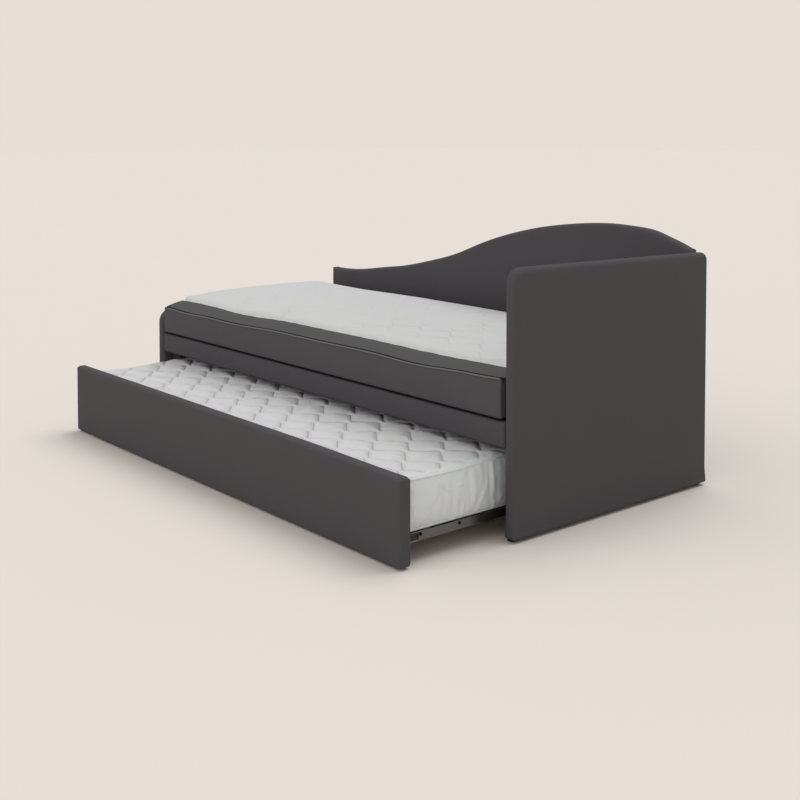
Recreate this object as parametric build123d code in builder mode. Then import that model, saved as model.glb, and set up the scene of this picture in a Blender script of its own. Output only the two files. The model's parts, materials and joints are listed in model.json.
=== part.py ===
from build123d import *
import os

# Daybed with a second bed that rolls out from under it.
# Millimetres. X runs along the bed towards the tall end, -Y is the front, +Z is up.
# The origin is on the floor, under the middle of the bed with its trundle part way out.

# Mattresses
mattress_length = 2000
mattress_rear_gap = 84
mattress_depth = 155
mattress_seam_height = 100
mattress_band_width = 95
mattress_band_height = 125
mattress_rear_height = 146
mattress_drawn_in = 6
mattress_corner_radius = 12
mattress_end_gap = 11
mattress_shift = 4
mattress_setback = 4
border_thickness = 4
piping_radius = 3
crown_share = 0.56
trundle_mattress_inset = 14
trundle_mattress_width = 800
trundle_mattress_depth = 158
trundle_mattress_edge = 151
zigzag_length = 154
zigzag_height = 52
zigzag_pitch = 77
zigzag_shift = 52
zigzag_corners = 27
quilt_row_setback = 54.5
quilt_rows = 10
quilt_groove_width = 20
quilt_groove_floor = 4
quilt_groove_depth = 8
tyre_edge_radius = 1.5
upper_groove_depth = 3
upper_row_setback = 150
upper_quilt_rows = 8

# Upholstered panels
panel_thickness = 44
body_depth = 928
tall_panel_height = 798
tall_front_corner_radius = 48
tall_rear_corner_radius = 25
low_panel_height = 448
low_front_corner_radius = 55
low_rear_corner_radius = 40
panel_edge_radius = 18
board_thickness = 25
inner_padding = 6
edge_padding = 13
back_thickness = 40
back_edge_radius = 15
back_board_thickness = 18
back_rear_padding = 14
back_end_gap = 4
back_low_height = 564
back_peak_height = 866
rail_bottom = 273
rail_height = 76
rail_thickness = 40
rail_setback = 3
rail_edge_radius = 10
rail_board_padding = 6
foot_height = 10
foot_width = 22
foot_pin_radius = 4
foot_pin_length = 25
foot_inset = 2
foot_setback = 16
back_foot_spacing = 1000

# Wave along the top of the back panel: share of its length, share of its rise
wave_shares = ((0, 0), (0.05, 0.007), (0.19, 0.11), (0.4, 0.395), (0.51, 0.65),
               (0.67, 0.905), (0.84, 1), (0.95, 0.895), (1, 0.77))

# Dowels and screws that hold the panels
dowel_radius = 5
dowel_length = 50
dowel_inset = 22
dowel_heights = (150, 400, 650)
screw_radius = 2
screw_head_radius = 4
screw_length = 28
hole_clearance = 0.1

# Corner brackets and upper base
bracket_thickness = 3
bracket_width = 34
bracket_setback = 48
bracket_drop = 200
bracket_screw_shares = (0.15, 0.5, 0.85)
tube_width = 30
tube_wall = 2
base_setback = 52
base_rear_gap = 67
base_drop = 2
base_end_gap = 1.5
base_bolt_radius = 4
base_bolt_length = 20
base_bolt_head = 5
slat_width = 55
slat_thickness = 8
slat_count = 14
slat_cap_length = 32
slat_cap_wall = 3
slat_rise = 3
seat_gap = 0.3

# Trundle panel and frame
pull_out = 389
trundle_panel_bottom = 6
trundle_panel_height = 256
trundle_panel_thickness = 40
trundle_panel_end_gap = 5
trundle_panel_edge_radius = 13
trundle_frame_end_gap = 37
trundle_frame_bottom = 58
trundle_frame_setback = 55
angle_width = 25
angle_wall = 3
trundle_slat_count = 13
trundle_mattress_gap = 6
frame_bolt_radius = 3
frame_bolt_head_radius = 4.5
frame_bolt_head = 3
frame_bolt_length = 14
frame_bolt_drop = 6.5
panel_bolt_inset = 6
panel_bracket_reach = 30
panel_bracket_foot = 40
panel_screw_rise = 9
panel_screw_shares = (0.25, 0.75)
buffer_radius = 10
buffer_length = 20
buffer_gap = 0.5

# Castors
castor_bar_width = 30
castor_bar_height = 12
castor_bar_insets = (154, 122)
castor_inset = 154
wheel_radius = 25
wheel_core_radius = 18
wheel_width = 20
hub_radius = 8
hub_width = 23
fork_gap = 24
fork_wall = 2.5
fork_plate_length = 56
fork_plate_width = 44
fork_leg_width = 22
axle_radius = 4
axle_head_radius = 6
axle_head = 3
rivet_radius = 2.5
rivet_head_radius = 4
rivet_head = 1.5
rivet_inset = 7
running_clearance = 0.08

# Places worked out from the sizes above
inner_length = mattress_length + 2 * mattress_end_gap
inner_half = inner_length / 2
front = -(pull_out + body_depth) / 2 + pull_out
rear = front + body_depth
back_face = rear - back_thickness
back_length = inner_length - 2 * back_end_gap
rail_front = front + rail_setback
rail_top = rail_bottom + rail_height
base_top = rail_top - base_drop
base_front = front + base_setback
base_depth = body_depth - back_thickness - base_setback - base_rear_gap
base_half = inner_half - bracket_thickness - base_end_gap
mattress_front = front + mattress_setback
mattress_width = back_face - mattress_rear_gap - mattress_front
trundle_front = front - pull_out
trundle_back = trundle_front + trundle_panel_thickness
frame_half = inner_half - trundle_frame_end_gap
frame_front = trundle_back + trundle_frame_setback
frame_rear = back_face - pull_out - buffer_gap - buffer_length
trundle_frame_depth = frame_rear - frame_front
frame_top = trundle_frame_bottom + angle_width
castor_x = frame_half - castor_inset
trundle_mattress_length = 2 * (frame_half - trundle_mattress_inset)
castor_places = (frame_front + castor_bar_insets[0], frame_rear - castor_bar_insets[1])
sides = (("right", 1), ("left", -1))

os.makedirs("parts", exist_ok=True)


def keep(piece, name):
    """Label a finished piece and write its STEP file."""
    piece.part.label = name
    export_step(piece.part, f"parts/{name}.step")


def across(x, y, z, side):
    """Plane at a point, facing outwards along X on the given side."""
    return Plane(origin=(x, y, z), x_dir=(0, 1, 0), z_dir=(side, 0, 0))


def end_outline(height, front_corner, rear_corner, inset):
    """Side view of an end panel, drawn in by inset at its top and upright edges."""
    low, high = foot_height, height - inset
    left, right = front + inset, rear - inset
    with BuildLine() as line:
        Polyline((left, low), (left, high), (right, high), (right, low), close=True)
    make_face(line.edges())
    fillet(vertices().group_by(Axis.Y)[-1].sort_by(Axis.X)[0], front_corner - inset)
    fillet(vertices().group_by(Axis.Y)[-1].sort_by(Axis.X)[-1], rear_corner - inset)


def back_outline(inset):
    """Front view of the back panel with its wavy top, drawn in by inset."""
    start = -back_length / 2 + inset
    span = back_length - 2 * inset
    rise = back_peak_height - back_low_height
    wave = [(start + along * span, back_low_height - inset + up * rise) for along, up in wave_shares]
    with BuildLine() as line:
        Spline(*wave)
        Polyline(wave[-1], (wave[-1][0], foot_height), (start, foot_height), wave[0])
    make_face(line.edges())


# Rows of fixings, shared by the pieces they pass through
bracket_places = (("front", front + bracket_setback + bracket_width / 2),
                  ("rear", base_front + base_depth - bracket_width / 2))
bracket_top = base_top - tube_width
bracket_bottom = bracket_top - bracket_drop
bracket_screw_heights = [bracket_bottom + share * bracket_drop for share in bracket_screw_shares]
rail_board_centre = rail_front + rail_thickness - rail_board_padding - board_thickness / 2
rail_dowel_heights = (rail_bottom + dowel_inset, rail_top - dowel_inset)
back_board_centre = rear - back_rear_padding - back_board_thickness / 2
foot_centre = inner_half + foot_inset + foot_width / 2
foot_places = (front + foot_setback + foot_width / 2, rear - foot_setback - foot_width / 2)


def fixing_places(height):
    """Dowels and bracket screws that enter one end panel, as (y, z) pairs."""
    rows = [(rail_board_centre, z) for z in rail_dowel_heights]
    rows += [(back_board_centre, z) for z in dowel_heights if z < height - dowel_length]
    screws = [(y, z) for end, y in bracket_places for z in bracket_screw_heights]
    return rows, screws


# End panels: a board in a padded fabric cover that is open underneath
end_panels = (("tall_panel", 1, tall_panel_height, tall_front_corner_radius, tall_rear_corner_radius),
              ("low_panel", -1, low_panel_height, low_front_corner_radius, low_rear_corner_radius))
for name, side, height, front_corner, rear_corner in end_panels:
    board_face = side * (inner_half + inner_padding)
    dowels, screws = fixing_places(height)
    with BuildPart() as board:
        with BuildSketch(Plane.YZ.offset(board_face)):
            end_outline(height, front_corner, rear_corner, edge_padding)
        extrude(amount=side * board_thickness)
        for y, z in dowels:
            with BuildSketch(Plane.YZ.offset(board_face)):
                with Locations((y, z)):
                    Circle(dowel_radius + hole_clearance)
            extrude(amount=side * (dowel_length / 2 - inner_padding + hole_clearance), mode=Mode.SUBTRACT)
        for y, z in screws:
            with BuildSketch(Plane.YZ.offset(board_face)):
                with Locations((y, z)):
                    Circle(screw_radius + hole_clearance)
            extrude(amount=side * (screw_length - inner_padding - bracket_thickness + hole_clearance),
                    mode=Mode.SUBTRACT)
        with BuildSketch(Plane.XY.offset(foot_height)):
            with Locations(*[(side * foot_centre, y) for y in foot_places]):
                Circle(foot_pin_radius + hole_clearance)
        extrude(amount=foot_pin_length + hole_clearance, mode=Mode.SUBTRACT)
    keep(board, f"{name}_board")

    with BuildPart() as padding:
        with BuildSketch(Plane.YZ.offset(side * inner_half)):
            end_outline(height, front_corner, rear_corner, 0)
        extrude(amount=side * panel_thickness)
        for face in padding.faces().filter_by(Axis.X):
            fillet(face.edges().sort_by(Axis.Z)[1:], panel_edge_radius)
        with BuildSketch(Plane.YZ.offset(board_face)):
            end_outline(height, front_corner, rear_corner, edge_padding)
        extrude(amount=side * board_thickness, mode=Mode.SUBTRACT)
        with BuildSketch(Plane.YZ.offset(side * inner_half)):
            with Locations(*dowels):
                Circle(dowel_radius + hole_clearance)
            with Locations(*screws):
                Circle(screw_radius + hole_clearance)
        extrude(amount=side * inner_padding, mode=Mode.SUBTRACT)
        with BuildSketch(Plane.XY.offset(foot_height)):
            with Locations(*[(side * foot_centre, y) for y in foot_places]):
                Circle(foot_pin_radius + hole_clearance)
        extrude(amount=foot_pin_length, mode=Mode.SUBTRACT)
    keep(padding, f"{name}_padding")

# Back panel
with BuildPart() as back_board:
    with BuildSketch(Plane.XZ.offset(-(rear - back_rear_padding))):
        back_outline(edge_padding)
    extrude(amount=back_board_thickness)
    for name, side, height, front_corner, rear_corner in end_panels:
        for z in (z for z in dowel_heights if z < height - dowel_length):
            with BuildSketch(across(side * (back_length / 2 - edge_padding), back_board_centre, z, side)):
                Circle(dowel_radius + hole_clearance)
            extrude(amount=-dowel_length / 2, mode=Mode.SUBTRACT)
    with BuildSketch(Plane.XY.offset(foot_height)):
        with Locations(*[(side * back_foot_spacing / 2, back_board_centre) for word, side in sides]):
            Circle(foot_pin_radius + hole_clearance)
    extrude(amount=foot_pin_length + hole_clearance, mode=Mode.SUBTRACT)
keep(back_board, "back_panel_board")

with BuildPart() as back_padding:
    with BuildSketch(Plane.XZ.offset(-rear)):
        back_outline(0)
    extrude(amount=back_thickness)
    for face in back_padding.faces().filter_by(Axis.Y):
        fillet(face.edges().sort_by(Axis.Z)[-1], back_edge_radius)
    with BuildSketch(Plane.XZ.offset(-(rear - back_rear_padding))):
        back_outline(edge_padding)
    extrude(amount=back_board_thickness, mode=Mode.SUBTRACT)
    for name, side, height, front_corner, rear_corner in end_panels:
        for z in (z for z in dowel_heights if z < height - dowel_length):
            with BuildSketch(across(side * back_length / 2, back_board_centre, z, side)):
                Circle(dowel_radius + hole_clearance)
            extrude(amount=-edge_padding, mode=Mode.SUBTRACT)
keep(back_padding, "back_panel_padding")

# Front rail under the upper mattress
with BuildPart() as rail_board:
    with BuildSketch(Plane.YZ.offset(-inner_half)):
        with Locations((rail_board_centre, (rail_bottom + rail_top) / 2)):
            Rectangle(board_thickness, rail_height - 2 * rail_board_padding)
    extrude(amount=inner_length)
    for word, side in sides:
        with BuildSketch(Plane.YZ.offset(side * inner_half)):
            with Locations(*[(rail_board_centre, z) for z in rail_dowel_heights]):
                Circle(dowel_radius + hole_clearance)
        extrude(amount=-side * (dowel_length / 2 + hole_clearance), mode=Mode.SUBTRACT)
keep(rail_board, "front_rail_board")

with BuildPart() as rail_padding:
    with BuildSketch(Plane.YZ.offset(-inner_half)):
        with Locations((rail_front + rail_thickness / 2, (rail_bottom + rail_top) / 2)):
            Rectangle(rail_thickness, rail_height)
        fillet(vertices().group_by(Axis.X)[0], rail_edge_radius)
        with Locations((rail_board_centre, (rail_bottom + rail_top) / 2)):
            Rectangle(board_thickness, rail_height - 2 * rail_board_padding, mode=Mode.SUBTRACT)
    extrude(amount=inner_length)
keep(rail_padding, "front_rail_padding")

# Dowels between the boards
with BuildPart() as dowels:
    for name, side, height, front_corner, rear_corner in end_panels:
        rows, screws = fixing_places(height)
        with BuildSketch(Plane.YZ.offset(side * (inner_half - dowel_length / 2))):
            with Locations(*rows):
                Circle(dowel_radius)
        extrude(amount=side * dowel_length)
keep(dowels, "joining_dowels")

# Feet, each with the pin that holds it in its board
with BuildPart() as feet:
    places = [(side * foot_centre, y) for word, side in sides for y in foot_places]
    places += [(side * back_foot_spacing / 2, back_board_centre) for word, side in sides]
    with BuildSketch():
        with Locations(*places):
            Rectangle(foot_width, foot_width)
    extrude(amount=foot_height)
    with BuildSketch(Plane.XY.offset(foot_height)):
        with Locations(*places):
            Circle(foot_pin_radius)
    extrude(amount=foot_pin_length)
keep(feet, "panel_feet")

# Corner brackets: an upright plate on each end panel with a shelf for the base
for end, y in bracket_places:
    for word, side in sides:
        with BuildPart() as bracket:
            with BuildSketch(Plane.XZ.offset(-(y + bracket_width / 2))):
                with BuildLine():
                    Polyline((side * inner_half, bracket_top),
                             (side * inner_half, bracket_bottom),
                             (side * (inner_half - bracket_thickness), bracket_bottom),
                             (side * (inner_half - bracket_thickness), bracket_top - bracket_thickness),
                             (side * (inner_half - bracket_width), bracket_top - bracket_thickness),
                             (side * (inner_half - bracket_width), bracket_top),
                             close=True)
                make_face()
            extrude(amount=bracket_width)
            with Locations(*[across(side * (inner_half - bracket_thickness), y, z, -side)
                             for z in bracket_screw_heights]):
                CounterSinkHole(screw_radius + hole_clearance, screw_head_radius + hole_clearance,
                                depth=bracket_thickness)
            with BuildSketch(Plane.XY.offset(bracket_top)):
                with Locations((side * (base_half - tube_width / 2), y)):
                    Circle(base_bolt_radius + hole_clearance)
            extrude(amount=-bracket_thickness, mode=Mode.SUBTRACT)
        keep(bracket, f"corner_bracket_{end}_{word}")

with BuildPart() as bracket_screws:
    for word, side in sides:
        for end, y in bracket_places:
            for z in bracket_screw_heights:
                head_face = across(side * (inner_half - bracket_thickness), y, z, side)
                head_depth = screw_head_radius - screw_radius
                with BuildSketch(head_face):
                    Circle(screw_head_radius)
                with BuildSketch(head_face.offset(head_depth)):
                    Circle(screw_radius)
                loft()
                with BuildSketch(head_face.offset(head_depth)):
                    Circle(screw_radius)
                extrude(amount=screw_length - head_depth)
keep(bracket_screws, "bracket_screws")

# Upper base: two end tubes, three long tubes and cross slats in rubber holders
base_centre_z = base_top - tube_width / 2
for word, side in sides:
    with BuildPart() as end_tube:
        with BuildSketch(Plane.XZ.offset(-base_front)):
            with Locations((side * (base_half - tube_width / 2), base_centre_z)):
                Rectangle(tube_width, tube_width)
                Rectangle(tube_width - 2 * tube_wall, tube_width - 2 * tube_wall, mode=Mode.SUBTRACT)
        extrude(amount=-base_depth)
        for end, y in bracket_places:
            with BuildSketch(Plane.XY.offset(base_top - tube_width)):
                with Locations((side * (base_half - tube_width / 2), y)):
                    Circle(base_bolt_radius + hole_clearance)
            extrude(amount=tube_wall, mode=Mode.SUBTRACT)
    keep(end_tube, f"base_end_tube_{word}")

long_tubes = (("front", base_front + tube_width / 2),
              ("middle", base_front + base_depth / 2),
              ("rear", base_front + base_depth - tube_width / 2))
for end, y in long_tubes:
    with BuildPart() as long_tube:
        with BuildSketch(Plane.YZ.offset(tube_width - base_half)):
            with Locations((y, base_centre_z)):
                Rectangle(tube_width, tube_width)
                Rectangle(tube_width - 2 * tube_wall, tube_width - 2 * tube_wall, mode=Mode.SUBTRACT)
        extrude(amount=2 * (base_half - tube_width))
    keep(long_tube, f"base_{end}_tube")

with BuildPart() as base_bolts:
    places = [(side * (base_half - tube_width / 2), y) for word, side in sides for end, y in bracket_places]
    with BuildSketch(Plane.XY.offset(bracket_top - bracket_thickness)):
        with Locations(*places):
            RegularPolygon(2 * base_bolt_radius, 6)
    extrude(amount=-base_bolt_head)
    with BuildSketch(Plane.XY.offset(bracket_top - bracket_thickness)):
        with Locations(*places):
            Circle(base_bolt_radius)
    extrude(amount=base_bolt_length)
keep(base_bolts, "base_bolts")

base_slat_pitch = 2 * (base_half - tube_width) / slat_count
slat_bottom = base_top + slat_rise
slat_length = base_depth - 2 * slat_cap_wall
cap_width = slat_width + 2 * slat_cap_wall
base_cap_height = slat_rise + slat_thickness - seat_gap
base_cap_places = (base_front + slat_cap_length / 2, base_front + base_depth - slat_cap_length / 2)
with BuildPart() as base_slats:
    with BuildSketch(Plane.XY.offset(slat_bottom)):
        with GridLocations(base_slat_pitch, 0, slat_count, 1):
            with Locations((0, base_front + base_depth / 2)):
                Rectangle(slat_width, slat_length)
    extrude(amount=slat_thickness)
keep(base_slats, "base_slats")

with BuildPart() as base_slat_caps:
    for y in base_cap_places:
        with BuildSketch(Plane.XY.offset(base_top)):
            with GridLocations(base_slat_pitch, 0, slat_count, 1):
                with Locations((0, y)):
                    Rectangle(cap_width, slat_cap_length)
        extrude(amount=base_cap_height)
    with BuildSketch(Plane.XY.offset(slat_bottom)):
        with GridLocations(base_slat_pitch, 0, slat_count, 1):
            with Locations((0, base_front + base_depth / 2)):
                Rectangle(slat_width, slat_length)
    extrude(amount=slat_thickness, mode=Mode.SUBTRACT)
keep(base_slat_caps, "base_slat_caps")


def plan_outline(length, width, corner):
    """Plan of a mattress: its four sides are drawn in between the corners."""
    x, y = length / 2, width / 2
    dip = mattress_drawn_in
    with BuildLine() as line:
        ThreePointArc((-x, -y), (0, dip / 2 - y), (x, -y))
        ThreePointArc((x, -y), (x - dip, 0), (x, y))
        ThreePointArc((x, y), (0, y - dip), (-x, y))
        ThreePointArc((-x, y), (dip - x, 0), (-x, -y))
    make_face(line.edges())
    fillet(vertices(), corner)


def stitch_row(row, low, width):
    """Outline of one zigzag row of stitching; each row is half a step from the next."""
    start = zigzag_shift - zigzag_corners // 2 * zigzag_length / 2
    chain = [(start + corner * zigzag_length / 2, low + (corner + row) % 2 * zigzag_height)
             for corner in range(zigzag_corners)]
    return [(x, y - width / 2) for x, y in chain] + [(x, y + width / 2) for x, y in reversed(chain)]


# Upper mattress: crowned, with a fabric border round its front edge
mattress_bottom = slat_bottom + slat_thickness + seat_gap
mattress_centre = (-mattress_shift, mattress_front + mattress_width / 2)
band_end = (mattress_front + mattress_band_width, mattress_bottom + mattress_band_height)
seam = (mattress_front, mattress_bottom + mattress_seam_height)
crown_top = (mattress_front + crown_share * mattress_width, mattress_bottom + mattress_depth)
rear_top = (mattress_front + mattress_width, mattress_bottom + mattress_rear_height)
inner_seam = (seam[0] + border_thickness, seam[1])
inner_band_end = (band_end[0], band_end[1] - border_thickness)


with BuildPart() as upper_mattress:
    with BuildSketch(Plane.YZ.offset(-mattress_length / 2 - mattress_shift)):
        with BuildLine():
            ThreePointArc(band_end, crown_top, rear_top)
            Polyline(rear_top, (rear_top[0], mattress_bottom), (inner_seam[0], mattress_bottom),
                     (inner_seam[0], inner_seam[1] - border_thickness / 2), inner_band_end, band_end)
        make_face()
    extrude(amount=mattress_length)
    with BuildSketch(Plane((mattress_centre[0], mattress_centre[1], mattress_bottom))):
        plan_outline(mattress_length, mattress_width, mattress_corner_radius)
    extrude(amount=mattress_depth, mode=Mode.INTERSECT)
    for row in range(upper_quilt_rows):
        low = mattress_front + upper_row_setback + row * zigzag_pitch
        from_crown = low + zigzag_height / 2 - crown_top[0]
        away = from_crown / (crown_share * mattress_width - mattress_band_width)
        surface = crown_top[1] - (crown_top[1] - band_end[1]) * away ** 2
        with BuildSketch(Plane.XY.offset(surface - upper_groove_depth)):
            Polygon(*stitch_row(row, low, quilt_groove_floor), align=None)
        with BuildSketch(Plane.XY.offset(surface + upper_groove_depth)):
            Polygon(*stitch_row(row, low, 2 * quilt_groove_width - quilt_groove_floor), align=None)
        loft(ruled=True, mode=Mode.SUBTRACT)
keep(upper_mattress, "upper_mattress")

with BuildPart() as border:
    with BuildSketch(Plane.YZ.offset(-mattress_length / 2 - mattress_shift)):
        with BuildLine():
            Polyline((seam[0], mattress_bottom), seam, band_end, inner_band_end,
                     (inner_seam[0], inner_seam[1] - border_thickness / 2),
                     (inner_seam[0], mattress_bottom), close=True)
        make_face()
        with Locations(seam):
            Circle(piping_radius + seat_gap, mode=Mode.SUBTRACT)
    extrude(amount=mattress_length)
    with BuildSketch(Plane((mattress_centre[0], mattress_centre[1], mattress_bottom))):
        plan_outline(mattress_length, mattress_width, mattress_corner_radius)
    extrude(amount=mattress_depth, mode=Mode.INTERSECT)
keep(border, "upper_mattress_border")

with BuildPart() as piping:
    with BuildSketch(Plane.YZ.offset(mattress_corner_radius - mattress_length / 2 - mattress_shift)):
        with Locations(seam):
            Circle(piping_radius)
    extrude(amount=mattress_length - 2 * mattress_corner_radius)
keep(piping, "upper_mattress_piping")

# Trundle front panel
trundle_panel_half = inner_half - trundle_panel_end_gap
trundle_board_half = trundle_panel_half - edge_padding
trundle_board_top = trundle_panel_bottom + trundle_panel_height - edge_padding
trundle_board_back = trundle_back - inner_padding
screw_z = trundle_frame_bottom + panel_screw_rise
bracket_plate_x = frame_half - 2 * angle_wall
panel_screw_places = [(side * (bracket_plate_x - share * panel_bracket_foot), screw_z)
                      for word, side in sides for share in panel_screw_shares]
with BuildPart() as trundle_board:
    with BuildSketch(Plane.XZ.offset(-trundle_board_back)):
        with BuildLine():
            Polyline((-trundle_board_half, trundle_panel_bottom), (-trundle_board_half, trundle_board_top),
                     (trundle_board_half, trundle_board_top), (trundle_board_half, trundle_panel_bottom),
                     close=True)
        make_face()
    extrude(amount=board_thickness)
    with BuildSketch(Plane.XZ.offset(-trundle_board_back)):
        with Locations(*panel_screw_places):
            Circle(screw_radius + hole_clearance)
    extrude(amount=screw_length - inner_padding - bracket_thickness + hole_clearance, mode=Mode.SUBTRACT)
keep(trundle_board, "trundle_panel_board")

with BuildPart() as trundle_padding:
    with Locations((0, trundle_front + trundle_panel_thickness / 2, trundle_panel_bottom)):
        Box(2 * trundle_panel_half, trundle_panel_thickness, trundle_panel_height,
            align=(Align.CENTER, Align.CENTER, Align.MIN))
    fillet(trundle_padding.edges(), trundle_panel_edge_radius)
    with BuildSketch(Plane.XZ.offset(-trundle_board_back)):
        with BuildLine():
            Polyline((-trundle_board_half, trundle_panel_bottom), (-trundle_board_half, trundle_board_top),
                     (trundle_board_half, trundle_board_top), (trundle_board_half, trundle_panel_bottom),
                     close=True)
        make_face()
    extrude(amount=board_thickness, mode=Mode.SUBTRACT)
    with BuildSketch(Plane.XZ.offset(-trundle_back)):
        with Locations(*panel_screw_places):
            Circle(screw_radius + hole_clearance)
    extrude(amount=inner_padding, mode=Mode.SUBTRACT)
keep(trundle_padding, "trundle_panel_padding")

# Trundle frame: angle bars along the ends and the long sides
bolt_z = frame_top - frame_bolt_drop
end_bolt_places = (frame_front + panel_bolt_inset,) + castor_places
for word, side in sides:
    with BuildPart() as end_angle:
        with BuildSketch(Plane.XZ.offset(-frame_front)):
            with BuildLine():
                Polyline((side * frame_half, trundle_frame_bottom), (side * frame_half, frame_top),
                         (side * (frame_half - angle_wall), frame_top),
                         (side * (frame_half - angle_wall), trundle_frame_bottom + angle_wall),
                         (side * (frame_half - angle_width), trundle_frame_bottom + angle_wall),
                         (side * (frame_half - angle_width), trundle_frame_bottom), close=True)
            make_face()
        extrude(amount=-trundle_frame_depth)
        with BuildSketch(Plane.YZ.offset(side * frame_half)):
            with Locations(*[(y, bolt_z) for y in end_bolt_places]):
                Circle(frame_bolt_radius + hole_clearance)
        extrude(amount=-side * angle_wall, mode=Mode.SUBTRACT)
    keep(end_angle, f"trundle_end_angle_{word}")

for end, y, inward in (("front", frame_front, 1), ("rear", frame_rear, -1)):
    with BuildPart() as long_angle:
        with BuildSketch(Plane.YZ.offset(angle_width - frame_half)):
            with BuildLine():
                Polyline((y, trundle_frame_bottom), (y, frame_top), (y + inward * angle_wall, frame_top),
                         (y + inward * angle_wall, trundle_frame_bottom + angle_wall),
                         (y + inward * angle_width, trundle_frame_bottom + angle_wall),
                         (y + inward * angle_width, trundle_frame_bottom), close=True)
            make_face()
        extrude(amount=2 * (frame_half - angle_width))
    keep(long_angle, f"trundle_{end}_angle")

# Channel brackets that carry the front panel on the frame
for word, side in sides:
    with BuildPart() as panel_bracket:
        web_outer = side * (frame_half - angle_wall)
        with BuildSketch(Plane.YZ.offset(web_outer)):
            with BuildLine():
                Polyline((trundle_back, trundle_frame_bottom), (trundle_back, frame_top),
                         (frame_front + panel_bracket_reach, frame_top),
                         (frame_front + panel_bracket_reach, trundle_frame_bottom + angle_wall),
                         (frame_front, trundle_frame_bottom + angle_wall),
                         (frame_front, trundle_frame_bottom), close=True)
            make_face()
        extrude(amount=-side * angle_wall)
        for low in (trundle_frame_bottom, frame_top - angle_wall):
            with BuildSketch(Plane.XY.offset(low)):
                with BuildLine():
                    Polyline((web_outer, trundle_back), (side * frame_half, trundle_back),
                             (side * frame_half, frame_front), (web_outer, frame_front), close=True)
                make_face()
            extrude(amount=angle_wall)
        with BuildSketch(Plane.XZ.offset(-trundle_back)):
            with BuildLine():
                Polyline((web_outer, trundle_frame_bottom), (web_outer, frame_top),
                         (side * (bracket_plate_x - panel_bracket_foot), frame_top),
                         (side * (bracket_plate_x - panel_bracket_foot), trundle_frame_bottom), close=True)
            make_face()
        extrude(amount=-bracket_thickness)
        with Locations(*[Plane(origin=(x, trundle_back + bracket_thickness, z), z_dir=(0, 1, 0))
                         for x, z in panel_screw_places if x * side > 0]):
            CounterSinkHole(screw_radius + hole_clearance, screw_head_radius + hole_clearance,
                            depth=bracket_thickness)
        with BuildSketch(Plane.YZ.offset(web_outer)):
            with Locations((frame_front + panel_bolt_inset, bolt_z)):
                Circle(frame_bolt_radius + hole_clearance)
        extrude(amount=-side * angle_wall, mode=Mode.SUBTRACT)
    keep(panel_bracket, f"panel_bracket_{word}")

with BuildPart() as panel_screws:
    for x, z in panel_screw_places:
        head_face = Plane(origin=(x, trundle_back + bracket_thickness, z), z_dir=(0, -1, 0))
        head_depth = screw_head_radius - screw_radius
        with BuildSketch(head_face):
            Circle(screw_head_radius)
        with BuildSketch(head_face.offset(head_depth)):
            Circle(screw_radius)
        loft()
        with BuildSketch(head_face.offset(head_depth)):
            Circle(screw_radius)
        extrude(amount=screw_length - head_depth)
keep(panel_screws, "panel_screws")

# Castor bars: flat tubes across the frame with upturned end tabs
tab_face = frame_half - angle_wall
bar_bottom = trundle_frame_bottom + angle_wall
for end, y in zip(("front", "rear"), castor_places):
    with BuildPart() as castor_bar:
        with BuildSketch(Plane.YZ.offset(-tab_face)):
            with Locations((y, bar_bottom + castor_bar_height / 2)):
                Rectangle(castor_bar_width, castor_bar_height)
                Rectangle(castor_bar_width - 2 * tube_wall, castor_bar_height - 2 * tube_wall,
                          mode=Mode.SUBTRACT)
        extrude(amount=2 * tab_face)
        for word, side in sides:
            with BuildSketch(Plane.YZ.offset(side * tab_face)):
                with Locations((y, (bar_bottom + frame_top) / 2)):
                    Rectangle(castor_bar_width, frame_top - bar_bottom)
            extrude(amount=-side * angle_wall)
            with BuildSketch(Plane.YZ.offset(side * tab_face)):
                with Locations((y, bolt_z)):
                    Circle(frame_bolt_radius + hole_clearance)
            extrude(amount=-side * angle_wall, mode=Mode.SUBTRACT)
        with BuildSketch(Plane.XY.offset(bar_bottom)):
            with Locations(*[(side * castor_x, y) for word, side in sides]):
                with GridLocations(fork_plate_length - 2 * rivet_inset, 0, 2, 1):
                    Circle(rivet_radius + hole_clearance)
        extrude(amount=tube_wall, mode=Mode.SUBTRACT)
    keep(castor_bar, f"castor_bar_{end}")

with BuildPart() as frame_bolts:
    for word, side in sides:
        for y in end_bolt_places:
            with BuildSketch(across(side * frame_half, y, bolt_z, side)):
                Circle(frame_bolt_head_radius)
            extrude(amount=frame_bolt_head)
            with BuildSketch(across(side * frame_half, y, bolt_z, side)):
                Circle(frame_bolt_radius)
            extrude(amount=-frame_bolt_length)
keep(frame_bolts, "trundle_frame_bolts")

# Trundle slats, each end in a rubber holder on the angle bar
trundle_slat_pitch = 2 * (frame_half - angle_width) / trundle_slat_count
trundle_slat_top = frame_top - seat_gap
trundle_slat_bottom = trundle_slat_top - slat_thickness
trundle_slat_length = trundle_frame_depth - 2 * (angle_wall + slat_cap_wall)
frame_middle = (frame_front + frame_rear) / 2
cap_reach = angle_width - angle_wall
trundle_cap_places = (frame_front + angle_wall + cap_reach / 2, frame_rear - angle_wall - cap_reach / 2)
with BuildPart() as trundle_slats:
    with BuildSketch(Plane.XY.offset(trundle_slat_bottom)):
        with GridLocations(trundle_slat_pitch, 0, trundle_slat_count, 1):
            with Locations((0, frame_middle)):
                Rectangle(slat_width, trundle_slat_length)
    extrude(amount=slat_thickness)
keep(trundle_slats, "trundle_slats")

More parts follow.
